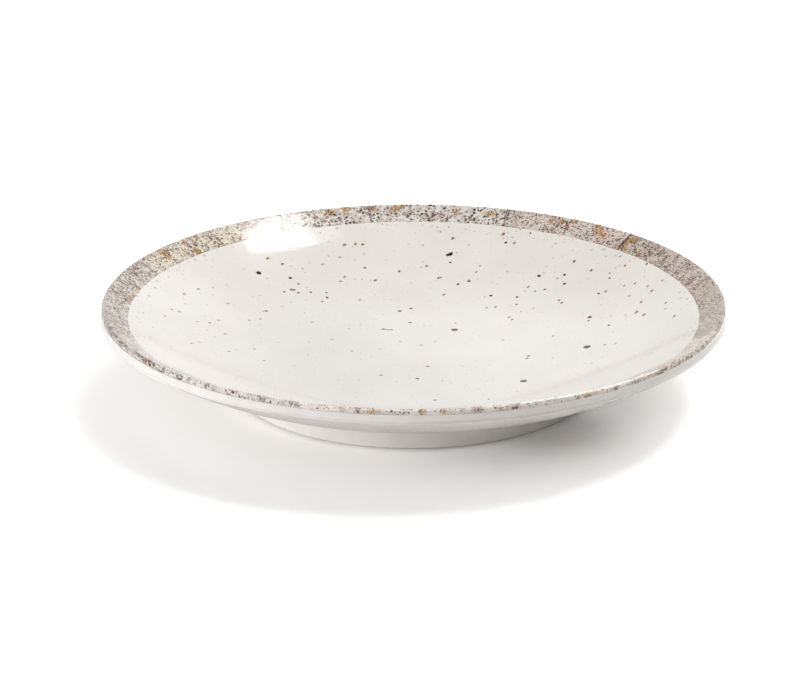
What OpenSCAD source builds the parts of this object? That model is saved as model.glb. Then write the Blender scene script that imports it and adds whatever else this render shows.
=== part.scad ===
// Coupe dinner plate: a moulded white body on a foot ring, a printed foil disc in the well,
// a printed foil ring on the rim and lip, and a clear glaze over both foils.
// The axis of the plate is Z and the foot ring stands on the plane z = 0.

/* [Plate] */
// Diameter over the outer edge, at the foot of the flared band
plate_d = 268; // [220:0.1:320]
// Height from the table to the top of the lip
plate_h = 39.5; // [34:0.5:50]
// Radius of the rounded lip
lip_r = 1.5; // [1.4:0.1:3]

/* [Well] */
// Diameter of the flat floor of the well
well_flat_d = 92; // [50:1:110]
// Length of the straight slope between the round of the well and the lip
slope_l = 18; // [2:1:30]
// Thickness of the floor, from the glazed face to the underside
floor_t = 5; // [3.5:0.1:7]

/* [Outside] */
// Height of the printed upright strip between the round of the lip and the edge of the print
print_drop = 0.8; // [0.3:0.1:3]
// Height of the plain band below the edge of the print
edge_h = 3.5; // [2.5:0.1:5]
// Height of the lower part of the plain band, which flares out
flare_h = 1.3; // [1:0.1:2.4]
// Distance by which it flares out on its way down
edge_flare = 0.5; // [0.1:0.05:0.6]
// Radius of the corner under the plain band
edge_r = 0.3; // [0.2:0.1:0.8]
// Diameter of the flat underside inside the foot ring
base_flat_d = 82; // [50:1:110]

/* [Foot ring] */
// Height of the flat underside over the table
foot_h = 5; // [4.5:0.1:8]
// Outer diameter of the foot at the table
foot_d = 158; // [140:0.5:180]
// Width of the foot at the table
foot_w = 5; // [4:0.1:9]
// Lean of both side walls of the foot, in degrees
foot_draft = 8; // [2:1:20]
// Radius of the two corners on which the foot stands
foot_edge_r = 1.2; // [0.3:0.1:1.5]
// Radius of the fillets where the foot runs into the underside
foot_root_r = 2.5; // [1:0.1:4]

/* [Foils and glaze] */
// Thickness of the printed foils
foil_t = 0.2; // [0.1:0.05:0.4]
// Thickness of the clear glaze
glaze_t = 0.3; // [0.1:0.05:0.5]
// Thickness of the resin bond line above and below the foils
bond_t = 0.1; // [0.1:0.05:0.2]
// Width of the rim foil inside the outer edge, seen from above
rim_band_w = 11.7; // [8:0.1:24]
// Number of petals that the rim foil is slit into, so that it lies flat in the dish
petals = 12; // [6:1:24]
// Width of a slit between two petals
slit_w = 0.3; // [0.1:0.05:0.6]
// Width of the uncut strip that joins the petals at their inner ends
slit_root = 1; // [0.5:0.1:4]
// Turn of the first slit from the X axis, in degrees
slit_turn = 9.5; // [0:0.5:30]

/* [Hidden] */
$fn = 180;

// Steps of the short and the long arcs
bend_steps = 8;
lip_steps = 12;
sweep_steps = 20;

// Depths under the glazed face: the two faces of the foils, and the body that is set back below them
foil_top = glaze_t + bond_t;
foil_base = foil_top + foil_t;
skin_t = foil_base + bond_t;

// Lip: a round above a short upright strip that ends at the edge of the print
rim_r = plate_d / 2;
print_r = rim_r - edge_flare;
lip_c = [print_r - lip_r, plate_h - lip_r];
print_z = lip_c.y - print_drop;

// Well: an arc that leaves the flat floor level, then a straight slope into the lip without a crease
floor_z = foot_h + floor_t;
well_run = lip_c.x - well_flat_d / 2;
well_rise = plate_h - floor_z;
well_r = (well_run ^ 2 + well_rise ^ 2 - slope_l ^ 2) / (2 * well_rise) - lip_r;
well_c = [well_flat_d / 2, floor_z + well_r];
well_end = heading(well_c, lip_c) - atan(slope_l / (well_r + lip_r));
slope_out = [cos(well_end), sin(well_end)];
slope_up = [-sin(well_end), cos(well_end)];

// The foils meet where the foil's face crosses the inner radius of the rim foil, on the slope or below it
band_r = rim_r - rim_band_w;
band_up = (band_r - well_c.x - (well_r + foil_top) * slope_out.x) / slope_up.x;
band_on_slope = band_up > 0.2;
band_turn = band_on_slope ? well_end
          : min(well_end - 0.1, -acos((band_r - well_c.x) / (well_r + foil_top)));

// Underside: one arc from the flat base up to the foot of the flared band
edge_z = print_z - edge_h;
under_run = rim_r - base_flat_d / 2;
under_rise = edge_z - foot_h;
under_r = (under_run ^ 2 + under_rise ^ 2) / (2 * under_rise);
under_c = [base_flat_d / 2, foot_h + under_r];

// Flared band: a hollow arc that leaves the upright part of the band without a crease
flare_r = (flare_h ^ 2 + edge_flare ^ 2) / (2 * edge_flare);
flare_c = [print_r + flare_r, edge_z + flare_h];

// Corner between the flared band and the underside, which touches both arcs
corner_gap = norm(under_c - flare_c);
corner_way = (under_c - flare_c) / corner_gap;
corner_along = ((flare_r + edge_r) ^ 2 - (under_r - edge_r) ^ 2 + corner_gap ^ 2) / (2 * corner_gap);
corner_aside = sqrt((flare_r + edge_r) ^ 2 - corner_along ^ 2);
edge_c = flare_c + corner_along * corner_way + corner_aside * [-corner_way.y, corner_way.x];
edge_start = heading(under_c, edge_c);
edge_end = heading(edge_c, flare_c);

// Foot ring: two leaning walls between a rounded base and a fillet at each root
foot_out_r = foot_d / 2;
foot_in_r = foot_out_r - foot_w;
root_out_c = root_centre(foot_out_r, 1);
root_in_c = root_centre(foot_in_r, -1);
root_out_turn = heading(under_c, root_out_c);
root_in_turn = heading(under_c, root_in_c);
corner_set = foot_edge_r * (1 / cos(foot_draft) - tan(foot_draft));
corner_out_c = [foot_out_r - corner_set, foot_edge_r];
corner_in_c = [foot_in_r + corner_set, foot_edge_r];

// Direction from one point of the section to another, in degrees
function heading(from, to) = atan2(to.y - from.y, to.x - from.x);

// Points of an arc, both ends included
function arc(centre, r, from, to, steps) =
    [for (i = [0 : steps]) let (a = from + (to - from) * i / steps) centre + r * [cos(a), sin(a)]];

// A list without its first point, for an arc that starts where the last one ended
function after_first(points) = [for (i = [1 : len(points) - 1]) points[i]];

function reversed(points) = [for (i = [len(points) - 1 : -1 : 0]) points[i]];

// Centre of the fillet that touches a wall of the foot and the arc of the underside,
// with side 1 outside the foot and side -1 inside it
function root_centre(base_r, side) =
    let (lean = side * tan(foot_draft))
    let (start = base_r + side * foot_root_r / cos(foot_draft))
    let (a = 1 + lean ^ 2)
    let (b = (start - under_c.x) * lean - under_c.y)
    let (c = (start - under_c.x) ^ 2 + under_c.y ^ 2 - (under_r + foot_root_r) ^ 2)
    let (z = (-b - sqrt(b ^ 2 - a * c)) / a)
    [start + lean * z, z];

// Faces of the upper side at a depth under the glazed face, from the axis outwards
function joint(depth) = well_c + (well_r + depth) * slope_out + band_up * slope_up;

function field_face(depth) =
    concat([[0, floor_z - depth]],
           arc(well_c, well_r + depth, -90, band_turn, sweep_steps),
           band_on_slope ? [joint(depth)] : []);

function rim_face(depth) =
    concat(band_on_slope ? [joint(depth)] : arc(well_c, well_r + depth, band_turn, well_end, bend_steps),
           arc(lip_c, lip_r - depth, well_end + 180, 90, bend_steps),
           after_first(arc(lip_c, lip_r - depth, 90, 0, lip_steps)),
           [[print_r - depth, print_z]]);

function upper_face(depth) = concat(field_face(depth), after_first(rim_face(depth)));

// Underside from the axis outwards, round the foot ring and up the flared band to the edge of the print
function under_face() =
    concat([[0, foot_h]],
           arc(under_c, under_r, -90, root_in_turn, bend_steps),
           after_first(arc(root_in_c, foot_root_r, root_in_turn + 180, foot_draft, bend_steps)),
           arc(corner_in_c, foot_edge_r, 180 + foot_draft, 270, bend_steps),
           arc(corner_out_c, foot_edge_r, 270, 360 - foot_draft, bend_steps),
           arc(root_out_c, foot_root_r, 180 - foot_draft, root_out_turn + 180, bend_steps),
           after_first(arc(under_c, under_r, root_out_turn, edge_start, sweep_steps)),
           after_first(arc(edge_c, edge_r, edge_start, edge_end, bend_steps)),
           after_first(arc(flare_c, flare_r, 180 + edge_end, 180, bend_steps)),
           [[print_r, print_z]]);

// A turned layer between two faces of the upper side
module layer(upper, lower) {
    rotate_extrude()
        polygon(concat(upper, reversed(lower)));
}

// White moulding: well, lip, flared band and foot ring, with a ledge that the skins end on
module body() {
    color("#efece8")
        rotate_extrude()
            polygon(concat(under_face(), reversed(upper_face(skin_t))));
}

// Cream speckled foil, a disc dished to the well
module field_foil() {
    color("#e9e6df")
        layer(field_face(foil_top), field_face(foil_base));
}

// Mottled grey foil over the rim and lip, slit into petals
module rim_foil() {
    slit_from = band_r + slit_root;
    color("#b3a89f")
        difference() {
            layer(rim_face(foil_top), rim_face(foil_base));
            for (i = [0 : petals - 1])
                rotate(slit_turn + i * 360 / petals)
                    translate([slit_from, -slit_w / 2, 0])
                        cube([rim_band_w, slit_w, plate_h]);
        }
}

// Clear glaze over both foils, from the middle of the well to the edge of the print
module clear_glaze() {
    color("#ffffff", 0.3)
        layer(upper_face(0), upper_face(glaze_t));
}

body();
field_foil();
rim_foil();
clear_glaze();
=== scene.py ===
import math

import bmesh
import bpy
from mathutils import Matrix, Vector


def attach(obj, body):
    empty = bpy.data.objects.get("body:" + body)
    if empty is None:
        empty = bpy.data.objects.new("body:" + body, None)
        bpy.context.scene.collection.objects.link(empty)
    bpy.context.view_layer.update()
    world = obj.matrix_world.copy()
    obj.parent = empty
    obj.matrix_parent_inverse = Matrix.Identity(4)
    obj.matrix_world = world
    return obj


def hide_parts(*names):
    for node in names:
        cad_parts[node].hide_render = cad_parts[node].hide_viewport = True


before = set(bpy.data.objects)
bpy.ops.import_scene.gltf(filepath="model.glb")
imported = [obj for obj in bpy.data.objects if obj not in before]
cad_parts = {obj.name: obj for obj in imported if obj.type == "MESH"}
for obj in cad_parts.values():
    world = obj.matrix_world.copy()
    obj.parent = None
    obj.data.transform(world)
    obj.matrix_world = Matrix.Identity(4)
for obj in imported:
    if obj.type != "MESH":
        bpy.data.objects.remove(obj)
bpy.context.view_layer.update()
scene = bpy.context.scene
scene.view_settings.view_transform = "Standard"
mm = 0.001
print("frame loaded:", sorted(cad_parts))


# camera, at the angle of the photograph
view = {
    "place": (0.0, -894.7, 350.1),      # mm
    "lookAt": (-5.84, 0.0, 15.83),      # mm, what lies at the middle of the picture
    "roll": -0.19,                      # degrees
    "lens": 99.0,                       # mm
    "sensor": 36.0,                     # mm, width
    "farEnd": 50.0,                     # m, nothing beyond it is drawn
    "picture": (800, 688),              # pixels
}


def makeCamera():
    data = bpy.data.cameras.new("plateCamera")
    data.lens = view["lens"]
    data.sensor_width = view["sensor"]
    data.clip_end = view["farEnd"]
    camera = bpy.data.objects.new("plateCamera", data)
    camera.location = Vector(view["place"]) * mm
    aim = Vector(view["lookAt"]) - Vector(view["place"])
    camera.rotation_euler = aim.to_track_quat("-Z", "Y").to_euler()
    camera.rotation_euler.rotate_axis("Z", math.radians(view["roll"]))
    scene.collection.objects.link(camera)
    scene.camera = camera
    bpy.context.view_layer.update()
    return camera


camera = makeCamera()
print("camera set")


# the plate's section, in mm: x is the distance from the axis, y is the height
plate = {
    "diameter": 268.0,
    "height": 39.5,
    "lipRadius": 1.5,
    "wellFlat": 92.0,
    "slopeLength": 18.0,
    "floorThickness": 5.0,
    "printDrop": 0.8,
    "edgeHeight": 3.5,
    "flareHeight": 1.3,
    "edgeFlare": 0.5,
    "edgeRadius": 0.3,
    "baseFlat": 82.0,
    "footHeight": 5.0,
    "footDiameter": 158.0,
    "footWidth": 5.0,
    "footDraft": 8.0,                   # degrees
    "footEdgeRadius": 1.2,
    "footRootRadius": 2.5,
    "foilThickness": 0.2,
    "glazeThickness": 0.3,
    "bondThickness": 0.1,
    "rimBandWidth": 11.7,
    "petals": 12,
    "slitWidth": 0.3,
    "slitRoot": 1.0,
    "slitTurn": 9.5,                    # degrees
}

fineness = {
    "turns": 360,                       # columns of faces around the axis
    "crease": 32.0,                     # degrees, edges that bend more are sharp
    # rows of faces on each stretch of the section
    "flat": 6,
    "well": 40,
    "slope": 6,
    "slitRoot": 2,
    "rimSlope": 8,
    "lipInside": 16,
    "lipOutside": 20,
    "base": 12,
    "footRoot": 10,
    "footCorner": 8,
    "under": 40,
    "edge": 10,
    "flare": 12,
}
axisReach = 1e-6                        # mm, a point within it lies on the axis

rimR = plate["diameter"] / 2
printR = rimR - plate["edgeFlare"]
lipR = plate["lipRadius"]
lipCentre = Vector((printR - lipR, plate["height"] - lipR))
printZ = lipCentre.y - plate["printDrop"]
floorZ = plate["footHeight"] + plate["floorThickness"]
foilTop = plate["glazeThickness"] + plate["bondThickness"]
foilBase = foilTop + plate["foilThickness"]
skin = foilBase + plate["bondThickness"]


def heading(start, end):
    return math.degrees(math.atan2(end.y - start.y, end.x - start.x))


def arc(centre, radius, start, end, steps):
    turns = [math.radians(start + (end - start) * i / steps) for i in range(steps + 1)]
    return [Vector((centre.x + radius * math.cos(t), centre.y + radius * math.sin(t))) for t in turns]


# the well: flat floor, an arc and a straight slope up to the lip
slopeLength = plate["slopeLength"]
wellRun = lipCentre.x - plate["wellFlat"] / 2
wellRise = plate["height"] - floorZ
wellR = (wellRun ** 2 + wellRise ** 2 - slopeLength ** 2) / (2 * wellRise) - lipR
wellCentre = Vector((plate["wellFlat"] / 2, floorZ + wellR))
wellEnd = heading(wellCentre, lipCentre) - math.degrees(math.atan(slopeLength / (wellR + lipR)))
slopeOut = Vector((math.cos(math.radians(wellEnd)), math.sin(math.radians(wellEnd))))
slopeUp = Vector((-slopeOut.y, slopeOut.x))
bandR = rimR - plate["rimBandWidth"]


def onSlope(depth, up):
    # a point of the slope: depth under the glazed face, and distance up from its lower end
    return wellCentre + slopeOut * (wellR + depth) + slopeUp * up


def upToRadius(radius):
    return (radius - onSlope(foilTop, 0).x) / slopeUp.x


bandUp = upToRadius(bandR)
slitUp = upToRadius(bandR + plate["slitRoot"])

# the outside: an arc up to the flared band, and the corner that touches both
edgeZ = printZ - plate["edgeHeight"]
underRun = rimR - plate["baseFlat"] / 2
underRise = edgeZ - plate["footHeight"]
underR = (underRun ** 2 + underRise ** 2) / (2 * underRise)
underCentre = Vector((plate["baseFlat"] / 2, plate["footHeight"] + underR))
edgeR = plate["edgeRadius"]
flareR = (plate["flareHeight"] ** 2 + plate["edgeFlare"] ** 2) / (2 * plate["edgeFlare"])
flareCentre = Vector((printR + flareR, edgeZ + plate["flareHeight"]))
cornerGap = (underCentre - flareCentre).length
cornerWay = (underCentre - flareCentre) / cornerGap
cornerAlong = ((flareR + edgeR) ** 2 - (underR - edgeR) ** 2 + cornerGap ** 2) / (2 * cornerGap)
cornerAside = math.sqrt((flareR + edgeR) ** 2 - cornerAlong ** 2)
edgeCentre = flareCentre + cornerWay * cornerAlong + Vector((-cornerWay.y, cornerWay.x)) * cornerAside
draft = plate["footDraft"]
rootR = plate["footRootRadius"]
footOut = plate["footDiameter"] / 2
footIn = footOut - plate["footWidth"]


def rootCentre(baseR, side):
    lean = side * math.tan(math.radians(draft))
    start = baseR + side * rootR / math.cos(math.radians(draft))
    a = 1 + lean ** 2
    b = (start - underCentre.x) * lean - underCentre.y
    c = (start - underCentre.x) ** 2 + underCentre.y ** 2 - (underR + rootR) ** 2
    z = (-b - math.sqrt(b ** 2 - a * c)) / a
    return Vector((start + lean * z, z))


def slope(depth, start, end, steps):
    return [onSlope(depth, start + (end - start) * i / steps) for i in range(steps + 1)]


def flatFace(width, height):
    # from the axis up to, and without, the edge of a flat
    rows = fineness["flat"]
    return [Vector((width / 2 * i / rows, height)) for i in range(rows)]


# faces of the upper side at a depth under the glazed face, from the axis outwards
def fieldFace(depth):
    return (flatFace(plate["wellFlat"], floorZ - depth)
            + arc(wellCentre, wellR + depth, -90, wellEnd, fineness["well"])
            + slope(depth, 0, bandUp, fineness["slope"])[1:])


def rimFace(depth):
    return (slope(depth, bandUp, slitUp, fineness["slitRoot"])
            + slope(depth, slitUp, slopeLength, fineness["rimSlope"])[1:]
            + arc(lipCentre, lipR - depth, wellEnd + 180, 90, fineness["lipInside"])[1:]
            + arc(lipCentre, lipR - depth, 90, 0, fineness["lipOutside"])[1:]
            + [Vector((printR - depth, printZ))])


def upperFace(depth):
    return fieldFace(depth) + rimFace(depth)[1:]


def underFace():
    rootOut, rootIn = rootCentre(footOut, 1), rootCentre(footIn, -1)
    outTurn, inTurn = heading(underCentre, rootOut), heading(underCentre, rootIn)
    cornerR = plate["footEdgeRadius"]
    cornerSet = cornerR * (1 / math.cos(math.radians(draft)) - math.tan(math.radians(draft)))
    cornerOut = Vector((footOut - cornerSet, cornerR))
    cornerIn = Vector((footIn + cornerSet, cornerR))
    edgeStart, edgeEnd = heading(underCentre, edgeCentre), heading(edgeCentre, flareCentre)
    return (flatFace(plate["baseFlat"], plate["footHeight"])
            + arc(underCentre, underR, -90, inTurn, fineness["base"])
            + arc(rootIn, rootR, inTurn + 180, draft, fineness["footRoot"])[1:]
            + arc(cornerIn, cornerR, 180 + draft, 270, fineness["footCorner"])
            + arc(cornerOut, cornerR, 270, 360 - draft, fineness["footCorner"])
            + arc(rootOut, rootR, 180 - draft, outTurn + 180, fineness["footRoot"])
            + arc(underCentre, underR, outTurn, edgeStart, fineness["under"])[1:]
            + arc(edgeCentre, edgeR, edgeStart, edgeEnd, fineness["edge"])[1:]
            + arc(flareCentre, flareR, 180 + edgeEnd, 180, fineness["flare"])[1:]
            + [Vector((printR, printZ))])


def finishMesh(name, mesh):
    crease = math.radians(fineness["crease"])
    bmesh.ops.recalc_face_normals(mesh, faces=mesh.faces)
    for face in mesh.faces:
        face.smooth = True
    for edge in mesh.edges:
        if len(edge.link_faces) == 2:
            edge.smooth = edge.calc_face_angle(0.0) < crease
    data = bpy.data.meshes.new(name)
    mesh.to_mesh(data)
    mesh.free()
    piece = bpy.data.objects.new(name, data)
    scene.collection.objects.link(piece)
    return piece


def turned(name, section):
    # a section that starts and ends on the axis, turned around Z
    mesh = bmesh.new()
    columns = fineness["turns"]
    rings = []
    for point in section:
        if point.x < axisReach:
            rings.append([mesh.verts.new((0, 0, point.y * mm))] * columns)
            continue
        rings.append([mesh.verts.new((point.x * mm * math.cos(2 * math.pi * i / columns),
                                      point.x * mm * math.sin(2 * math.pi * i / columns),
                                      point.y * mm)) for i in range(columns)])
    for lower, upper in zip(rings, rings[1:]):
        for i in range(columns):
            j = (i + 1) % columns
            corners = []
            for corner in (lower[i], lower[j], upper[j], upper[i]):
                if corner not in corners:
                    corners.append(corner)
            if len(corners) > 2:
                mesh.faces.new(corners)
    return finishMesh(name, mesh)


def slitRing(name, upper, lower, firstOpenRing):
    # a turned layer with narrow radial slits that run from one ring out to its edge
    mesh = bmesh.new()
    petals = plate["petals"]
    perPetal = fineness["turns"] // petals
    half = plate["slitWidth"] / 2
    columns = []
    for k in range(petals):
        start = math.radians(plate["slitTurn"] + 360 * k / petals)
        end = math.radians(plate["slitTurn"] + 360 * (k + 1) / petals)
        for i in range(perPetal + 1):
            share = i / perPetal
            column = []
            for face in (upper, lower):
                line = []
                for point in face:
                    inset = math.asin(half / point.x)
                    turn = (start + inset) * (1 - share) + (end - inset) * share
                    line.append(mesh.verts.new((point.x * mm * math.cos(turn),
                                                point.x * mm * math.sin(turn), point.y * mm)))
                column.append(line)
            columns.append(column)
    last = len(upper) - 1
    for i, (top, base) in enumerate(columns):
        nextTop, nextBase = columns[(i + 1) % len(columns)]
        slit = i % (perPetal + 1) == perPetal
        end = firstOpenRing if slit else last
        mesh.faces.new((top[0], nextTop[0], nextBase[0], base[0]))
        mesh.faces.new((top[end], base[end], nextBase[end], nextTop[end]))
        for j in range(end):
            mesh.faces.new((top[j], top[j + 1], nextTop[j + 1], nextTop[j]))
            mesh.faces.new((base[j], nextBase[j], nextBase[j + 1], base[j + 1]))
        if slit:
            for j in range(firstOpenRing, last):
                mesh.faces.new((top[j], base[j], base[j + 1], top[j + 1]))
                mesh.faces.new((nextTop[j], nextTop[j + 1], nextBase[j + 1], nextBase[j]))
    return finishMesh(name, mesh)


# shader helpers
pureWhite = (1, 1, 1, 1)


def paint(red, green, blue):
    # a screen colour, 0 to 255, as the linear colour that a socket takes
    def linear(v):
        v = v / 255
        return v / 12.92 if v <= 0.04045 else ((v + 0.055) / 1.055) ** 2.4
    return (linear(red), linear(green), linear(blue), 1.0)


def addNode(tree, kind, inputs=None, **settings):
    node = tree.nodes.new("ShaderNode" + kind)
    for key, value in settings.items():
        setattr(node, key, value)
    for key, value in (inputs or {}).items():
        if isinstance(value, bpy.types.NodeSocket):
            tree.links.new(value, node.inputs[key])
        else:
            node.inputs[key].default_value = value
    return node


def calc(tree, operation, a, b=0.0, c=0.0):
    return addNode(tree, "Math", {0: a, 1: b, 2: c}, operation=operation).outputs[0]


def vectorCalc(tree, operation, a, b=(0, 0, 0), scale=1.0):
    # gives a value for the operations named here, and a vector for others
    node = addNode(tree, "VectorMath", {0: a, 1: b, 3: scale}, operation=operation)
    return node.outputs["Value" if operation in ("DISTANCE", "LENGTH", "DOT_PRODUCT") else "Vector"]


def noise(tree, place, scale, detail, roughness=0.5):
    inputs = {"Vector": place, "Scale": scale, "Detail": detail, "Roughness": roughness}
    return addNode(tree, "TexNoise", inputs).outputs[0]


def ramp(tree, value, low, high, fromOut=0.0, toOut=1.0):
    # a smooth step from one value to another
    inputs = {"Value": value, "From Min": low, "From Max": high, "To Min": fromOut, "To Max": toOut}
    return addNode(tree, "MapRange", inputs, interpolation_type="SMOOTHSTEP").outputs[0]


def softDisc(tree, radius, away, soft):
    # 1 within the radius and 0 outside it, with a soft edge
    edge = calc(tree, "DIVIDE", calc(tree, "SUBTRACT", radius, away), soft)
    return ramp(tree, edge, -0.5, 0.5)


def blend(tree, share, under, over):
    return addNode(tree, "Mix", {0: share, 6: under, 7: over}, data_type="RGBA").outputs[2]


def tint(tree, colour, share, tone):
    # lays a screen colour over a colour
    return blend(tree, share, colour, paint(*tone))


def newGroup(name, inputs, outputs):
    tree = bpy.data.node_groups.new(name, "ShaderNodeTree")
    for label, kind in inputs.items():
        tree.interface.new_socket(label, in_out="INPUT", socket_type="NodeSocket" + kind)
    for label, kind in outputs.items():
        tree.interface.new_socket(label, in_out="OUTPUT", socket_type="NodeSocket" + kind)
    return tree, tree.nodes.new("NodeGroupInput").outputs, tree.nodes.new("NodeGroupOutput").inputs


def useGroup(tree, group, inputs):
    return addNode(tree, "Group", inputs, node_tree=group).outputs


def newMaterial(name):
    material = bpy.data.materials.new(name)
    material.use_nodes = True
    tree = material.node_tree
    tree.nodes.clear()
    out = tree.nodes.new("ShaderNodeOutputMaterial")
    return material, tree, out.inputs["Surface"]


def platePlace(tree):
    # object coordinates in mm
    return vectorCalc(tree, "SCALE", addNode(tree, "TexCoord").outputs["Object"], scale=1 / mm)


def printWobble():
    # moves the print's coordinates a little, so that no dot is a clean circle
    tree, inside, out = newGroup("printWobble", {"Place": "Vector", "Reach": "Float", "Grain": "Float"},
                                 {"Place": "Vector"})
    detail, middle = 2.0, (0.5, 0.5, 0.5)
    cloud = addNode(tree, "TexNoise", {"Vector": inside["Place"], "Scale": inside["Grain"], "Detail": detail})
    centred = vectorCalc(tree, "SUBTRACT", cloud.outputs["Color"], middle)
    moved = vectorCalc(tree, "SCALE", centred, scale=inside["Reach"])
    tree.links.new(vectorCalc(tree, "ADD", inside["Place"], moved), out["Place"])
    return tree


def printDots():
    # scattered dots: one in each cell of the size given, and only in a share of the cells
    tree, inside, out = newGroup("printDots", {"Place": "Vector", "Cell": "Float", "Size": "Float",
                                               "Keep": "Float", "Soft": "Float"},
                                 {"Mask": "Float", "Tint": "Float"})
    smallest, spread, rarity = 0.5, 0.9, 2.0    # diameters as shares of the size; large ones are rare
    shrink = calc(tree, "DIVIDE", 1.0, inside["Cell"])
    cells = addNode(tree, "TexVoronoi", {"Vector": inside["Place"], "Scale": shrink, "Randomness": 1.0},
                    voronoi_dimensions="2D")
    away = calc(tree, "MULTIPLY", cells.outputs["Distance"], inside["Cell"])
    chance = addNode(tree, "SeparateColor", {0: cells.outputs["Color"]}).outputs
    share = calc(tree, "MULTIPLY_ADD", calc(tree, "POWER", chance[1], rarity), spread, smallest)
    radius = calc(tree, "MULTIPLY", share, calc(tree, "MULTIPLY", inside["Size"], 0.5))
    dot = softDisc(tree, radius, away, inside["Soft"])
    kept = calc(tree, "LESS_THAN", chance[0], inside["Keep"])
    tree.links.new(calc(tree, "MULTIPLY", dot, kept), out["Mask"])
    tree.links.new(chance[2], out["Tint"])
    return tree


def placedMark():
    # one mark at a chosen spot, added to the marks before it
    tree, inside, out = newGroup("placedMark", {"Before": "Float", "Place": "Vector", "Spot": "Vector",
                                                "Radius": "Float", "Soft": "Float"},
                                 {"After": "Float"})
    away = vectorCalc(tree, "DISTANCE", inside["Place"], inside["Spot"])
    mark = softDisc(tree, inside["Radius"], away, inside["Soft"])
    tree.links.new(calc(tree, "MAXIMUM", mark, inside["Before"]), out["After"])
    return tree


def rimPlace():
    # where a point lies on the rim foil: its place in the print, the distance across the band, its petal,
    # the share of the way along the petal, and the distance from the nearest slit
    tree, inside, out = newGroup("rimPlace", {"Place": "Vector"},
                                 {"Place": "Vector", "Across": "Float", "Petal": "Float", "Share": "Float",
                                  "Slit": "Float"})
    petalStep = 1.7                     # lengths from petal to petal in the print, so that none runs on
    slopeStretch = 1.2                  # mm up the slope for each mm outwards
    x, y, z = addNode(tree, "SeparateXYZ", {0: inside["Place"]}).outputs
    radius = vectorCalc(tree, "LENGTH", addNode(tree, "CombineXYZ", {0: x, 1: y}).outputs[0])
    petals = plate["petals"]
    firstSlit = plate["slitTurn"] * petals / 360
    turn = calc(tree, "ARCTAN2", y, x)
    turn = calc(tree, "MULTIPLY_ADD", turn, petals / (2 * math.pi), petals - firstSlit)
    turn = calc(tree, "FLOORED_MODULO", turn, float(petals))
    petal = calc(tree, "FLOOR", turn)
    share = calc(tree, "SUBTRACT", turn, petal)
    length = 2 * math.pi * rimR / petals
    along = calc(tree, "MULTIPLY_ADD", petal, petalStep * length, calc(tree, "MULTIPLY", share, length))
    rise = calc(tree, "MULTIPLY", calc(tree, "SUBTRACT", radius, bandR), slopeStretch)
    outer = calc(tree, "GREATER_THAN", radius, lipCentre.x)
    drop = calc(tree, "MULTIPLY", calc(tree, "SUBTRACT", plate["height"], z), outer)
    across = calc(tree, "ADD", rise, drop)
    nearest = calc(tree, "MINIMUM", share, calc(tree, "SUBTRACT", 1.0, share))
    tree.links.new(addNode(tree, "CombineXYZ", {0: along, 1: across}).outputs[0], out["Place"])
    tree.links.new(across, out["Across"])
    tree.links.new(calc(tree, "DIVIDE", calc(tree, "ADD", petal, 0.5), float(petals)), out["Petal"])
    tree.links.new(share, out["Share"])
    tree.links.new(calc(tree, "MULTIPLY", nearest, length), out["Slit"])
    return tree


wobbleGroup = printWobble()
dotsGroup = printDots()
markGroup = placedMark()
rimGroup = rimPlace()


def wobble(tree, place, reach, grain):
    return useGroup(tree, wobbleGroup, {"Place": place, "Reach": reach, "Grain": grain})["Place"]


def printHeight(radius):
    # height of the printed face at a distance from the axis, and below the table outside it
    low, high = onSlope(foilTop, 0), onSlope(foilTop, slopeLength)
    if radius < plate["wellFlat"] / 2:
        return floorZ - foilTop
    if radius < low.x:
        return wellCentre.y - math.sqrt((wellR + foilTop) ** 2 - (radius - wellCentre.x) ** 2)
    if radius < high.x:
        return onSlope(foilTop, upToRadius(radius)).y
    rise = (lipR - foilTop) ** 2 - (radius - lipCentre.x) ** 2
    return lipCentre.y + math.sqrt(rise) if rise > 0 else -1.0


def spotOnPrint(column, row):
    # the point of the printed face, in mm, that a pixel of the picture shows
    above, step, steps = 1.0, 0.2, 4000         # the search starts some mm above the plate
    width, height = view["picture"]
    focal = view["lens"] / view["sensor"] * width
    turn = camera.matrix_world.to_3x3()
    ray = (turn @ Vector(((column - width / 2) / focal, (height / 2 - row) / focal, -1))).normalized()
    start = Vector(view["place"])
    reach = (plate["height"] + above - start.z) / ray.z
    for i in range(steps):
        point = start + ray * (reach + step * i)
        if printHeight(math.hypot(point.x, point.y)) > point.z:
            break
    return point


def addMarks(tree, place, spots, soft, slant=None):
    # a chain of placed marks; a spot is a pixel column, a pixel row and a radius in mm
    # with a slant, marks are drawn out along it: a direction, and what 1 mm along it counts as
    if slant:
        way, squeeze = Vector(slant[0]), slant[1] - 1
        along = vectorCalc(tree, "DOT_PRODUCT", place, way)
        shift = vectorCalc(tree, "SCALE", way, scale=calc(tree, "MULTIPLY", along, squeeze))
        place = vectorCalc(tree, "ADD", place, shift)
    mask = 0.0
    for column, row, radius in spots:
        spot = spotOnPrint(column, row)
        if slant:
            spot += way * spot.dot(way) * squeeze
        mask = useGroup(tree, markGroup, {"Before": mask, "Place": place, "Spot": spot, "Radius": radius,
                                          "Soft": soft})["After"]
    return mask


# in each look, noises are a scale per mm and a detail, and turns are the values between which a mask rises

# white moulding
bodyLook = {
    "white": (240, 237, 233),
    "shade": (234, 230, 225),           # soft mottling of the powder
    "mottleNoise": (0.06, 5.0, 0.6),    # with a roughness
    "mottleTurn": (0.35, 0.7),
    "flow": 0.00002,                    # m, faint waves left by the mould
    "flowStrength": 0.6,
    "grainNoise": (1.1, 3.0),
    "grainTurn": (0.3, 0.7),
    "roughness": (0.16, 0.26),
    "ior": 1.5,
}


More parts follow.
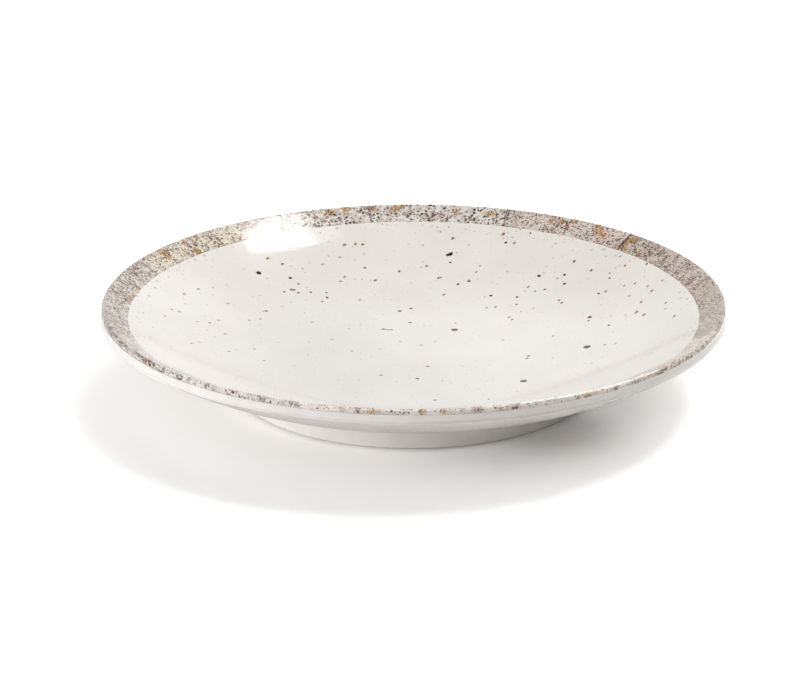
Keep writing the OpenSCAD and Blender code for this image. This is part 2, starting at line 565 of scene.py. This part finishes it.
def bodyMaterial():
    material, tree, surface = newMaterial("whiteMelamine")
    place = platePlace(tree)
    mottle = noise(tree, place, *bodyLook["mottleNoise"])
    grain = noise(tree, place, *bodyLook["grainNoise"])
    shade = ramp(tree, mottle, *bodyLook["mottleTurn"])
    colour = tint(tree, paint(*bodyLook["white"]), shade, bodyLook["shade"])
    rough = ramp(tree, grain, *bodyLook["grainTurn"], *bodyLook["roughness"])
    bump = addNode(tree, "Bump", {"Height": mottle, "Distance": bodyLook["flow"],
                                  "Strength": bodyLook["flowStrength"]})
    shader = addNode(tree, "BsdfPrincipled", {"Base Color": colour, "Roughness": rough,
                                              "Normal": bump.outputs[0], "IOR": bodyLook["ior"]})
    tree.links.new(shader.outputs[0], surface)
    return material


def makeBody():
    piece = turned("plateBody", underFace() + upperFace(skin)[::-1])
    piece.data.materials.append(bodyMaterial())
    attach(piece, "root")
    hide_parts("body")


makeBody()
print("body made")


# cream speckled foil in the well; specks are pixels of the picture with a radius in mm
fieldLook = {
    "cream": (236, 232, 226),
    "creamShade": (232, 228, 221),
    "cloudNoise": (0.025, 4.0),
    "cloudTurn": (0.35, 0.65),
    "grainNoise": (1.4, 3.0),
    "grainTurn": (0.3, 0.7),
    "roughness": (0.42, 0.55),
    "specular": 0.15,
    "wobble": (0.9, 0.8),               # reach in mm, grain per mm
    # scattered specks: share of cells with one, cell in mm, size in mm, shift in mm, strength, colour
    "scatter": [(0.28, 3.6, 0.9, 3.0, 0.45, (178, 162, 138)),
                (0.24, 5.6, 1.0, 41.0, 0.65, (158, 136, 104)),
                (0.20, 9.0, 1.0, 87.0, 0.75, (136, 108, 74))],
    # strays of the rim's dots, in the same order, with the share that is reached at the edge of the disc
    "strays": (0.32, 2.0, 1.0, 55.0, 0.60, (122, 102, 82)),
    "strayReach": (9.0, 1.0),           # mm inside the rim band where they begin and are most
    "scatterSlope": 0.6,                # shift along Y for each mm of shift along X
    "scatterSoft": 0.4,                 # mm
    # placed specks: list, colour, softness in mm, drawn out along the slant
    "marks": [("pales", "paleColour", 0.6, True), ("browns", "brownColour", 0.55, True),
              ("darks", "darkColour", 0.42, False), ("blots", "blotColour", 0.36, False)],
    "markTurn": (0.25, 0.8),
    "slant": ((0.58, 0.81, 0.0), 0.62),
    "halo": (206, 172, 128),
    "haloTurn": (0.0, 0.35),
    "haloStrength": 0.75,
    "blotColour": (34, 12, 6),
    "blots": [(447.7, 255.2, 0.85), (450.3, 254.3, 1.05), (451.6, 252.9, 0.6), (258.7, 273.1, 1.25),
              (454.6, 329.9, 1.55), (587.1, 347.0, 1.6), (523.7, 381.1, 1.45), (290.4, 278.2, 0.85)],
    "darkColour": (56, 32, 17),
    "darks": [(450.3, 262.4, 0.5), (506.1, 242.6, 0.65), (530.3, 233.3, 0.5), (457.9, 284.4, 0.6),
              (469.0, 281.3, 0.8), (490.8, 295.7, 0.75), (486.7, 307.9, 0.5), (539.0, 276.2, 0.85),
              (517.0, 297.3, 0.7), (516.3, 304.5, 0.6), (410.2, 322.6, 0.8), (455.6, 323.0, 0.45),
              (564.5, 274.8, 0.75), (564.5, 283.9, 0.75), (589.8, 317.3, 0.95), (588.5, 320.8, 0.6),
              (598.5, 293.6, 0.65), (609.7, 273.3, 0.45), (609.7, 278.0, 0.55), (609.2, 325.2, 0.65),
              (646.8, 264.0, 0.6), (619.9, 256.3, 0.45), (326.9, 297.8, 0.65), (326.5, 292.8, 0.5),
              (322.2, 301.6, 0.5), (310.6, 292.3, 0.6), (266.3, 311.0, 0.65), (399.7, 311.1, 0.85),
              (417.2, 378.7, 0.85), (427.7, 366.4, 0.75), (488.7, 399.3, 0.52), (435.1, 400.3, 0.62),
              (383.4, 329.2, 0.85), (153.3, 327.3, 0.45), (209.9, 323.0, 0.5), (284.0, 292.0, 0.5)],
    "brownColour": (126, 92, 62),
    "browns": [(452.6, 238.2, 0.6), (503.3, 234.1, 0.7), (514.3, 243.1, 0.55), (426.5, 266.0, 0.5),
               (438.6, 278.2, 0.5), (441.0, 277.7, 0.45), (443.9, 294.6, 0.6), (495.6, 307.0, 0.5),
               (528.0, 287.1, 0.5), (544.9, 289.5, 0.55), (535.0, 291.3, 0.45), (509.2, 317.0, 0.5),
               (512.2, 319.5, 0.5), (410.7, 308.5, 0.65), (574.2, 261.5, 0.7), (591.2, 270.4, 0.65),
               (558.9, 300.5, 0.5), (561.7, 303.0, 0.55), (605.8, 291.6, 0.55), (604.6, 344.9, 0.5),
               (636.4, 312.2, 0.78), (643.9, 314.8, 0.7), (641.3, 302.2, 0.5), (651.9, 290.8, 0.65),
               (647.7, 286.4, 0.5), (635.1, 283.4, 0.5), (624.9, 265.6, 0.5), (674.5, 316.1, 0.6),
               (665.7, 303.1, 0.45), (528.5, 355.9, 0.6), (526.9, 358.5, 0.55), (375.3, 280.4, 0.58),
               (291.4, 289.6, 0.55), (294.0, 289.9, 0.55), (298.3, 292.8, 0.5), (267.7, 258.4, 0.55),
               (282.3, 264.1, 0.55), (344.6, 244.9, 0.6), (355.6, 244.3, 0.5), (362.5, 244.3, 0.5),
               (387.0, 329.7, 0.45), (389.5, 329.9, 0.5), (391.6, 329.8, 0.45), (340.6, 281.5, 0.5),
               (344.4, 277.1, 0.5), (364.8, 267.9, 0.5), (399.5, 271.1, 0.5), (381.0, 375.3, 0.55)],
    "paleColour": (182, 163, 130),
    "pales": [(322.5, 264.6, 0.55), (340.0, 257.4, 0.5), (298.5, 283.9, 0.55), (476.3, 272.1, 0.5),
              (480.4, 266.0, 0.45), (260.4, 319.2, 0.5), (249.4, 320.5, 0.5), (332.0, 339.6, 0.6),
              (629.3, 295.9, 0.5), (624.2, 285.7, 0.45), (662.4, 280.6, 0.5), (615.3, 343.5, 0.5),
              (184.4, 293.9, 0.6), (198.2, 289.1, 0.5), (171.8, 309.5, 0.5), (179.2, 311.5, 0.55),
              (164.7, 316.1, 0.55), (150.4, 337.3, 0.5), (218.3, 320.5, 0.5), (228.0, 303.4, 0.5),
              (225.2, 334.0, 0.55), (191.0, 343.4, 0.5), (199.7, 342.4, 0.5), (229.0, 351.5, 0.5),
              (254.5, 349.0, 0.5), (264.0, 360.7, 0.5), (553.0, 336.0, 0.5), (503.0, 340.0, 0.5),
              (360.0, 300.0, 0.5), (421.0, 345.0, 0.5), (312.0, 322.0, 0.5), (352.0, 351.0, 0.5)],
}


def scatterSpecks(tree, place, colour, keep, cell, size, shift, strength, tone):
    moved = vectorCalc(tree, "ADD", place, (shift, shift * fieldLook["scatterSlope"], 0))
    dots = useGroup(tree, dotsGroup, {"Place": moved, "Cell": cell, "Size": size, "Keep": keep,
                                      "Soft": fieldLook["scatterSoft"]})
    share = calc(tree, "MULTIPLY", dots["Mask"], calc(tree, "MULTIPLY", dots["Tint"], strength))
    return tint(tree, colour, share, tone)


def fieldMaterial():
    material, tree, surface = newMaterial("creamSpeckledPrint")
    place = platePlace(tree)
    flat = vectorCalc(tree, "MULTIPLY", place, (1, 1, 0))
    cloud = ramp(tree, noise(tree, flat, *fieldLook["cloudNoise"]), *fieldLook["cloudTurn"])
    colour = tint(tree, paint(*fieldLook["cream"]), cloud, fieldLook["creamShade"])
    wobbled = wobble(tree, place, *fieldLook["wobble"])

    # scattered faint specks, then small brown ones, and strays of the rim's dots near the edge of the disc
    for row in fieldLook["scatter"]:
        colour = scatterSpecks(tree, wobbled, colour, *row)
    radius = vectorCalc(tree, "LENGTH", flat)
    begin, most = [bandR - inside for inside in fieldLook["strayReach"]]
    edgeKeep, *row = fieldLook["strays"]
    colour = scatterSpecks(tree, wobbled, colour, ramp(tree, radius, begin, most, 0.0, edgeKeep), *row)

    for spots, tone, soft, drawnOut in fieldLook["marks"]:
        mask = addMarks(tree, wobbled, fieldLook[spots], soft, fieldLook["slant"] if drawnOut else None)
        halo = calc(tree, "MULTIPLY", ramp(tree, mask, *fieldLook["haloTurn"]), fieldLook["haloStrength"])
        colour = tint(tree, colour, halo, fieldLook["halo"])
        colour = tint(tree, colour, ramp(tree, mask, *fieldLook["markTurn"]), fieldLook[tone])

    grain = noise(tree, flat, *fieldLook["grainNoise"])
    rough = ramp(tree, grain, *fieldLook["grainTurn"], *fieldLook["roughness"])
    shader = addNode(tree, "BsdfPrincipled", {"Base Color": colour, "Roughness": rough,
                                              "Specular IOR Level": fieldLook["specular"]})
    tree.links.new(shader.outputs[0], surface)
    return material


def makeField():
    piece = turned("fieldFoil", fieldFace(foilTop) + fieldFace(foilBase)[::-1])
    piece.data.materials.append(fieldMaterial())
    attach(piece, "root")
    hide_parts("field_foil")


makeField()
print("field foil made")


# mottled foil over the rim and lip; patches are pixels of the picture with a radius in mm
rimLook = {
    # one row for each petal, counterclockwise from the first slit:
    # share of dots, cell of the dots in mm, ink in the slit before it, base
    "petals": [(0.62, 1.45, 0.25, (208, 195, 185)), (0.52, 1.40, 1.00, (221, 210, 202)),
               (0.52, 1.90, 0.90, (228, 222, 217)), (0.58, 2.00, 1.00, (228, 220, 211)),
               (0.50, 1.55, 0.20, (229, 219, 203)), (0.62, 1.70, 0.25, (217, 210, 201)),
               (0.64, 1.80, 0.25, (216, 209, 203)), (0.36, 1.70, 0.20, (240, 234, 227)),
               (0.14, 1.15, 0.20, (249, 241, 231)), (0.14, 1.15, 0.20, (248, 241, 230)),
               (0.42, 1.35, 0.20, (223, 212, 200)), (0.58, 1.45, 0.25, (196, 184, 172))],
    "cellMost": 4.0,                    # mm, cells are stored as shares of it
    "cloud": (196, 184, 170),
    "cloudNoise": (0.22, 4.0),
    "cloudTurn": (0.42, 0.72),
    "cloudStrength": 0.7,
    "crowdNoise": {"Scale": 0.14, "Detail": 2.0, "W": 4.0},
    "crowdTurn": (0.32, 0.62),
    "crowdKeep": (0.5, 1.5),            # what the share of dots is multiplied by
    "roughTurn": (0.3, 0.7),
    "roughness": (0.42, 0.58),
    "specular": 0.15,
    # dots: shift in mm, then shares of the petal's cell, of that cell as the size, and of the petal's
    # share of dots, then strength and colour
    "dots": [(0.0, 0.8, 0.80, 1.0, 0.8, "tan"),
             (19.0, 0.95, 0.80, 0.9, 0.9, "brown"),
             (47.0, 1.0, 0.66, 0.9, 1.0, "black")],
    "dotSlope": 1.3,                    # shift across for each mm of shift along
    "dotWobble": (1.3, 1.1),            # reach in mm, grain per mm
    "dotSoft": 0.1,                     # mm
    "dotFade": (0.6, 0.4),              # least strength, and how much more it varies
    "black": (44, 22, 10),
    "brown": (104, 60, 34),
    "tan": (150, 121, 89),
    # patches: noise that breaks them up, and what is left of them between
    "tearNoise": (0.9, 3.0),
    "tearTurn": (0.36, 0.58),
    "tearKeep": (0.35, 1.0),
    "patchWobble": (3.0, 0.7),          # reach in mm, grain per mm
    "ochreSoft": 1.6,                   # mm
    "rustSoft": 1.4,                    # mm
    "umberSoft": 1.8,                   # mm
    "ochreStrength": (0.85, 0.45),      # under the dots, and over them
    "rustStrength": (0.75, 0.4),
    "umberKeep": 0.45,                  # more dots in an umber patch
    "coreTurn": (0.54, 0.6),            # dark cores of ochre and rust
    "coreStrength": (0.0, 0.85),
    "stainTurn": (0.42, 0.6),           # umber between the dots
    "stainStrength": (0.05, 0.8),
    "seamReach": (0.85, 0.5),           # mm from a slit, from no ink to full ink
    "seamTurn": (0.34, 0.54),
    "edgeReach": (0.5, 0.1),            # mm from the inner edge, from no ink to full ink
    "edgeTurn": (0.45, 0.6),
    "edgeStrength": (0.0, 0.55),
    "ochreColour": (196, 144, 68),
    "ochres": [(166.5, 254.5, 2.2), (161.0, 251.5, 1.8), (169.0, 258.0, 1.3), (346.0, 209.0, 2.2),
               (329.8, 212.5, 1.6), (373.3, 209.0, 1.6), (394.4, 208.6, 2.0), (401.4, 206.4, 1.5),
               (455.4, 211.5, 1.5), (490.5, 213.9, 1.8), (550.3, 221.8, 1.4), (561.8, 221.8, 1.2),
               (575.1, 221.8, 1.3), (599.4, 231.0, 2.4), (603.6, 235.1, 1.7), (597.5, 226.5, 1.5),
               (627.2, 241.2, 1.9), (633.3, 240.0, 1.5), (624.8, 249.0, 1.5), (617.5, 247.3, 1.2),
               (137.5, 288.0, 1.6), (129.6, 297.2, 1.6), (371.6, 411.5, 1.2), (422.0, 412.0, 1.3),
               (443.6, 411.0, 1.1), (587.0, 395.3, 1.2), (197.5, 251.8, 2.0)],
    "rustColour": (156, 92, 50),
    "rusts": [(185.2, 242.9, 1.5), (189.1, 247.5, 1.1), (196.3, 236.4, 1.0),
              (134.2, 267.0, 1.5), (115.3, 292.6, 1.5), (109.4, 327.9, 1.4), (353.7, 222.4, 1.2),
              (504.5, 227.6, 1.1), (638.0, 255.0, 1.1), (690.2, 281.8, 2.1), (566.7, 227.3, 1.2),
              (144.8, 361.0, 1.3), (478.8, 410.4, 1.2)],
    "umberColour": (84, 54, 44),
    "umbers": [(351.6, 218.2, 1.1), (332.6, 221.0, 1.1), (325.0, 221.0, 1.1), (426.6, 206.2, 1.0),
               (432.3, 213.2, 1.1), (428.0, 218.2, 1.1), (441.4, 216.0, 1.5), (455.4, 215.5, 1.2),
               (473.6, 218.9, 1.0), (502.0, 212.0, 1.1), (504.5, 218.0, 1.1), (617.5, 240.0, 1.3),
               (657.0, 248.5, 1.7), (661.5, 253.0, 1.9), (665.5, 258.0, 1.7), (667.2, 267.0, 1.1),
               (675.7, 273.0, 1.1), (687.2, 284.0, 0.9), (162.7, 370.2, 1.2), (179.0, 376.8, 1.5),
               (188.2, 379.9, 1.1), (207.0, 386.0, 1.1), (261.4, 400.0, 0.9), (294.3, 404.5, 1.6),
               (357.0, 411.0, 1.2), (516.0, 406.5, 1.4), (578.0, 397.5, 0.9), (616.2, 388.8, 1.1),
               (660.6, 373.0, 1.2), (186.5, 252.7, 1.2)],
}


def petalColours(tree, petal, colours):
    # one flat colour for each petal
    node = addNode(tree, "ValToRGB", {0: petal})
    band = node.color_ramp
    band.interpolation = "CONSTANT"
    for i, colour in enumerate(colours):
        stop = band.elements[0] if i == 0 else band.elements.new(i / len(colours))
        stop.position = i / len(colours)
        stop.color = colour
    for stop in list(band.elements)[len(colours):]:
        band.elements.remove(stop)
    return node.outputs[0]


def rimMaterial():
    material, tree, surface = newMaterial("mottledRimPrint")
    place = platePlace(tree)
    spot = useGroup(tree, rimGroup, {"Place": place})
    rows = rimLook["petals"]
    cellMost = rimLook["cellMost"]
    base = petalColours(tree, spot["Petal"], [paint(*tone) for _, _, _, tone in rows])
    kinds = [(share, size / cellMost, 0, 1) for share, size, _, _ in rows]
    dense, cell, _ = addNode(tree, "SeparateColor", {0: petalColours(tree, spot["Petal"], kinds)}).outputs
    cell = calc(tree, "MULTIPLY", cell, cellMost)

    # soft clouds in the base, and a looser or denser scatter from place to place
    cloud = noise(tree, spot["Place"], *rimLook["cloudNoise"])
    crowd = addNode(tree, "TexNoise", {"Vector": spot["Place"], **rimLook["crowdNoise"]},
                    noise_dimensions="4D").outputs[0]
    clouds = ramp(tree, cloud, *rimLook["cloudTurn"], 0.0, rimLook["cloudStrength"])
    colour = tint(tree, base, clouds, rimLook["cloud"])
    keep = calc(tree, "MULTIPLY", dense, ramp(tree, crowd, *rimLook["crowdTurn"], *rimLook["crowdKeep"]))

    # ochre, rust and umber patches with broken edges
    loose = wobble(tree, place, *rimLook["patchWobble"])
    broken = noise(tree, place, *rimLook["tearNoise"])
    torn = ramp(tree, broken, *rimLook["tearTurn"], *rimLook["tearKeep"])
    ochre = calc(tree, "MULTIPLY", addMarks(tree, loose, rimLook["ochres"], rimLook["ochreSoft"]), torn)
    rust = calc(tree, "MULTIPLY", addMarks(tree, loose, rimLook["rusts"], rimLook["rustSoft"]), torn)
    umber = addMarks(tree, loose, rimLook["umbers"], rimLook["umberSoft"])
    ochreUnder, ochreOver = rimLook["ochreStrength"]
    rustUnder, rustOver = rimLook["rustStrength"]
    colour = tint(tree, colour, calc(tree, "MULTIPLY", ochre, ochreUnder), rimLook["ochreColour"])
    colour = tint(tree, colour, calc(tree, "MULTIPLY", rust, rustUnder), rimLook["rustColour"])
    keep = calc(tree, "MULTIPLY_ADD", umber, rimLook["umberKeep"], keep)

    # tan, brown and black dots
    wobbled = wobble(tree, spot["Place"], *rimLook["dotWobble"])
    least, varying = rimLook["dotFade"]
    for shift, cellShare, sizeShare, keepShare, strength, tone in rimLook["dots"]:
        moved = vectorCalc(tree, "ADD", wobbled, (shift, shift * rimLook["dotSlope"], 0))
        width = calc(tree, "MULTIPLY", cell, cellShare)
        dots = useGroup(tree, dotsGroup, {"Place": moved, "Cell": width,
                                          "Size": calc(tree, "MULTIPLY", width, sizeShare),
                                          "Keep": calc(tree, "MULTIPLY", keep, keepShare),
                                          "Soft": rimLook["dotSoft"]})
        fade = calc(tree, "MULTIPLY_ADD", dots["Tint"], varying, least)
        share = calc(tree, "MULTIPLY", dots["Mask"], calc(tree, "MULTIPLY", fade, strength))
        colour = tint(tree, colour, share, rimLook[tone])

    # the patches again, thinner, over the dots, with their dark cores and stains
    colour = tint(tree, colour, calc(tree, "MULTIPLY", ochre, ochreOver), rimLook["ochreColour"])
    colour = tint(tree, colour, calc(tree, "MULTIPLY", rust, rustOver), rimLook["rustColour"])
    core = ramp(tree, broken, *rimLook["coreTurn"], *rimLook["coreStrength"])
    core = calc(tree, "MULTIPLY", calc(tree, "MAXIMUM", ochre, rust), core)
    colour = tint(tree, colour, core, rimLook["umberColour"])
    stain = ramp(tree, broken, *rimLook["stainTurn"], *rimLook["stainStrength"])
    colour = tint(tree, colour, calc(tree, "MULTIPLY", umber, stain), rimLook["umberColour"])

    # ink that gathers at some of the slits and in places along the inner edge
    inks = [ink for _, _, ink, _ in rows]
    bothEnds = [(ink, after, 0, 1) for ink, after in zip(inks, inks[1:] + inks[:1])]
    ink, after, _ = addNode(tree, "SeparateColor", {0: petalColours(tree, spot["Petal"], bothEnds)}).outputs
    late = calc(tree, "GREATER_THAN", spot["Share"], 0.5)
    ink = calc(tree, "MULTIPLY_ADD", calc(tree, "SUBTRACT", after, ink), late, ink)
    seam = calc(tree, "MULTIPLY", ramp(tree, spot["Slit"], *rimLook["seamReach"]),
                ramp(tree, broken, *rimLook["seamTurn"]))
    colour = tint(tree, colour, calc(tree, "MULTIPLY", seam, ink), rimLook["umberColour"])
    edge = calc(tree, "MULTIPLY", ramp(tree, spot["Across"], *rimLook["edgeReach"]),
                ramp(tree, crowd, *rimLook["edgeTurn"], *rimLook["edgeStrength"]))
    colour = tint(tree, colour, edge, rimLook["brown"])

    rough = ramp(tree, cloud, *rimLook["roughTurn"], *rimLook["roughness"])
    shader = addNode(tree, "BsdfPrincipled", {"Base Color": colour, "Roughness": rough,
                                              "Specular IOR Level": rimLook["specular"]})
    tree.links.new(shader.outputs[0], surface)
    return material


def makeRim():
    piece = slitRing("rimFoil", rimFace(foilTop), rimFace(foilBase), fineness["slitRoot"])
    piece.data.materials.append(rimMaterial())
    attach(piece, "root")
    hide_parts("rim_foil")


makeRim()
print("rim foil made")


# clear glaze over both foils
glazeLook = {"ior": 1.5, "roughness": 0.09}


def glazeMaterial():
    material, tree, surface = newMaterial("clearGlaze")
    gloss = addNode(tree, "BsdfPrincipled", {"Base Color": pureWhite, "Metallic": 1.0,
                                             "Roughness": glazeLook["roughness"]})
    clear = addNode(tree, "BsdfTransparent", {"Color": pureWhite})
    fresnel = addNode(tree, "Fresnel", {"IOR": glazeLook["ior"]})
    back = addNode(tree, "NewGeometry").outputs["Backfacing"]
    share = calc(tree, "MULTIPLY", fresnel.outputs[0], calc(tree, "SUBTRACT", 1.0, back))
    mix = addNode(tree, "MixShader", {0: share, 1: clear.outputs[0], 2: gloss.outputs[0]})
    tree.links.new(mix.outputs[0], surface)
    return material


def makeGlaze():
    piece = turned("clearGlaze", upperFace(0) + upperFace(plate["glazeThickness"])[::-1])
    piece.data.materials.append(glazeMaterial())
    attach(piece, "root")
    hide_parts("clear_glaze")


makeGlaze()
print("glaze made")


# floor and light
stage = {
    "floorSize": 8.0,                   # m
    "white": (250, 248, 247),
    "grain": (248, 246, 245),
    "grainNoise": (40.0, 3.0),          # scale per m
    "grainTurn": (0.3, 0.7),
    "roughness": 0.7,
    "specular": 0.1,
    # painted light: a glow that only the camera sees lightens the floor's shadow, so the floor runs out into
    # white around the deepest shadow: centre in m, from and to in m, strength
    "paintedLifts": [((0.042, -0.068), 0.0, 0.06, 0.13), ((0.06, -0.06), 0.008, 0.035, 0.12),
              ((0.01, 0.0), 0.08, 0.2, 0.35), ((0.02, -0.02), 0.14, 0.25, 0.9)],
    "liftFrom": (0.0785, 0.0835),       # m from the axis, where the painted light starts, so that the foot keeps its dark line
    "window": (0.0775, 0.078),          # m from the axis, clear so that light from below meets the underside
    "dim": 0.02,                        # light from all round
    "gloss": (0.75, 0.08),              # what the gloss mirrors beside the lamps: low down, and overhead
    "glossTurn": (0.38, 0.85),          # height on a unit sphere over which one goes into the other
}


def floorMaterial():
    material, tree, surface = newMaterial("paleFloor")
    place = addNode(tree, "TexCoord").outputs["Object"]
    grain = ramp(tree, noise(tree, place, *stage["grainNoise"]), *stage["grainTurn"])
    colour = tint(tree, paint(*stage["white"]), grain, stage["grain"])
    shader = addNode(tree, "BsdfPrincipled", {"Base Color": colour, "Roughness": stage["roughness"],
                                              "Specular IOR Level": stage["specular"]})
    # painted light: a glow that only camera rays see lightens the floor's shadow towards white
    paintedLift = 0.0
    for (x, y), start, end, strength in stage["paintedLifts"]:
        away = vectorCalc(tree, "DISTANCE", place, (x, y, 0))
        paintedLift = calc(tree, "ADD", ramp(tree, away, start, end, 0.0, strength), paintedLift)
    axis = vectorCalc(tree, "LENGTH", place)
    paintedLift = calc(tree, "MULTIPLY", paintedLift, ramp(tree, axis, *stage["liftFrom"]))
    seen = addNode(tree, "LightPath").outputs["Is Camera Ray"]
    white = addNode(tree, "Emission", {"Color": pureWhite, "Strength": calc(tree, "MULTIPLY", paintedLift, seen)})
    total = addNode(tree, "AddShader", {0: shader.outputs[0], 1: white.outputs[0]})
    # seen from below, the floor doesn't hide the plate
    back = addNode(tree, "NewGeometry").outputs["Backfacing"]
    back = calc(tree, "MAXIMUM", back, ramp(tree, axis, *stage["window"], 1.0, 0.0))
    clear = addNode(tree, "BsdfTransparent", {"Color": pureWhite})
    mix = addNode(tree, "MixShader", {0: back, 1: total.outputs[0], 2: clear.outputs[0]})
    tree.links.new(mix.outputs[0], surface)
    return material


def makeFloor():
    mesh = bmesh.new()
    half = stage["floorSize"] / 2
    corners = ((-1, -1), (1, -1), (1, 1), (-1, 1))
    mesh.faces.new([mesh.verts.new((x * half, y * half, 0)) for x, y in corners])
    floor = finishMesh("floor", mesh)
    floor.data.materials.append(floorMaterial())


def makeWorld():
    world = bpy.data.worlds.new("studio")
    scene.world = world
    world.use_nodes = True
    tree = world.node_tree
    tree.nodes.clear()
    out = tree.nodes.new("ShaderNodeOutputWorld")
    path = addNode(tree, "LightPath").outputs
    height = addNode(tree, "SeparateXYZ", {0: addNode(tree, "TexCoord").outputs["Generated"]}).outputs[2]
    gloss = ramp(tree, height, *stage["glossTurn"], *stage["gloss"])
    level = calc(tree, "MAXIMUM", calc(tree, "MULTIPLY", path["Is Glossy Ray"], gloss), stage["dim"])
    level = calc(tree, "MAXIMUM", level, path["Is Camera Ray"])
    light = addNode(tree, "Background", {"Color": pureWhite, "Strength": level})
    tree.links.new(light.outputs[0], out.inputs[0])


lamps = {
    # name: place in m, aim in m, width and depth in m, spin in degrees, power in W,
    # and whether it shows in gloss only, or else never in gloss
    "keyBox": ((0.45, 0.26, 1.07), (0, 0, 0.02), (0.45, 0.45), 45.0, 10.0, False),
    "keyGloss": ((0.362, 0.472, 1.05), (0.362, 0.472, 0), (0.25, 0.14), 51.0, 1.5, True),
    "sideGloss": ((0.257, 0.343, 1.05), (0.257, 0.343, 0), (0.10, 0.14), 56.0, 0.08, True),
    "lipGloss": ((0.827, 0.278, 1.05), (0.827, 0.278, 0), (0.87, 1.0), 56.0, 15.0, True),
    "frontGloss": ((0.0, -0.75, 1.05), (0, -0.75, 0), (1.4, 0.9), 0.0, 12.0, True),
    "backBox": ((0.614, 1.064, 0.860), (0, 0, 0.02), (1.2, 0.9), 0.0, 9.3, False),
    "rightBox": ((0.923, 0.0, 1.182), (0, 0, 0.02), (1.2, 0.9), 0.0, 3.1, False),
    "frontBox": ((-0.45, -1.2, 0.35), (0, 0, 0.02), (0.6, 0.4), 0.0, 3.1, False),
    "leftStrip": ((-1.237, -0.378, 0.25), (0, 0, 0.02), (0.6, 0.45), 0.0, 9.8, False),
    "underBox": ((0.0, -0.3, -0.9), (0, 0, 0), (0.8, 0.8), 0.0, 6.0, False),
}


def makeLamps():
    for name, (place, aim, size, spin, power, gloss) in lamps.items():
        data = bpy.data.lights.new(name, "AREA")
        data.shape = "RECTANGLE"
        data.size, data.size_y = size
        data.energy = power
        lamp = bpy.data.objects.new(name, data)
        lamp.location = place
        lamp.rotation_euler = (Vector(aim) - Vector(place)).to_track_quat("-Z", "Y").to_euler()
        lamp.rotation_euler.rotate_axis("Z", math.radians(spin))
        lamp.visible_diffuse = not gloss
        lamp.visible_glossy = gloss
        scene.collection.objects.link(lamp)


makeFloor()
makeWorld()
makeLamps()
print("floor and light set")
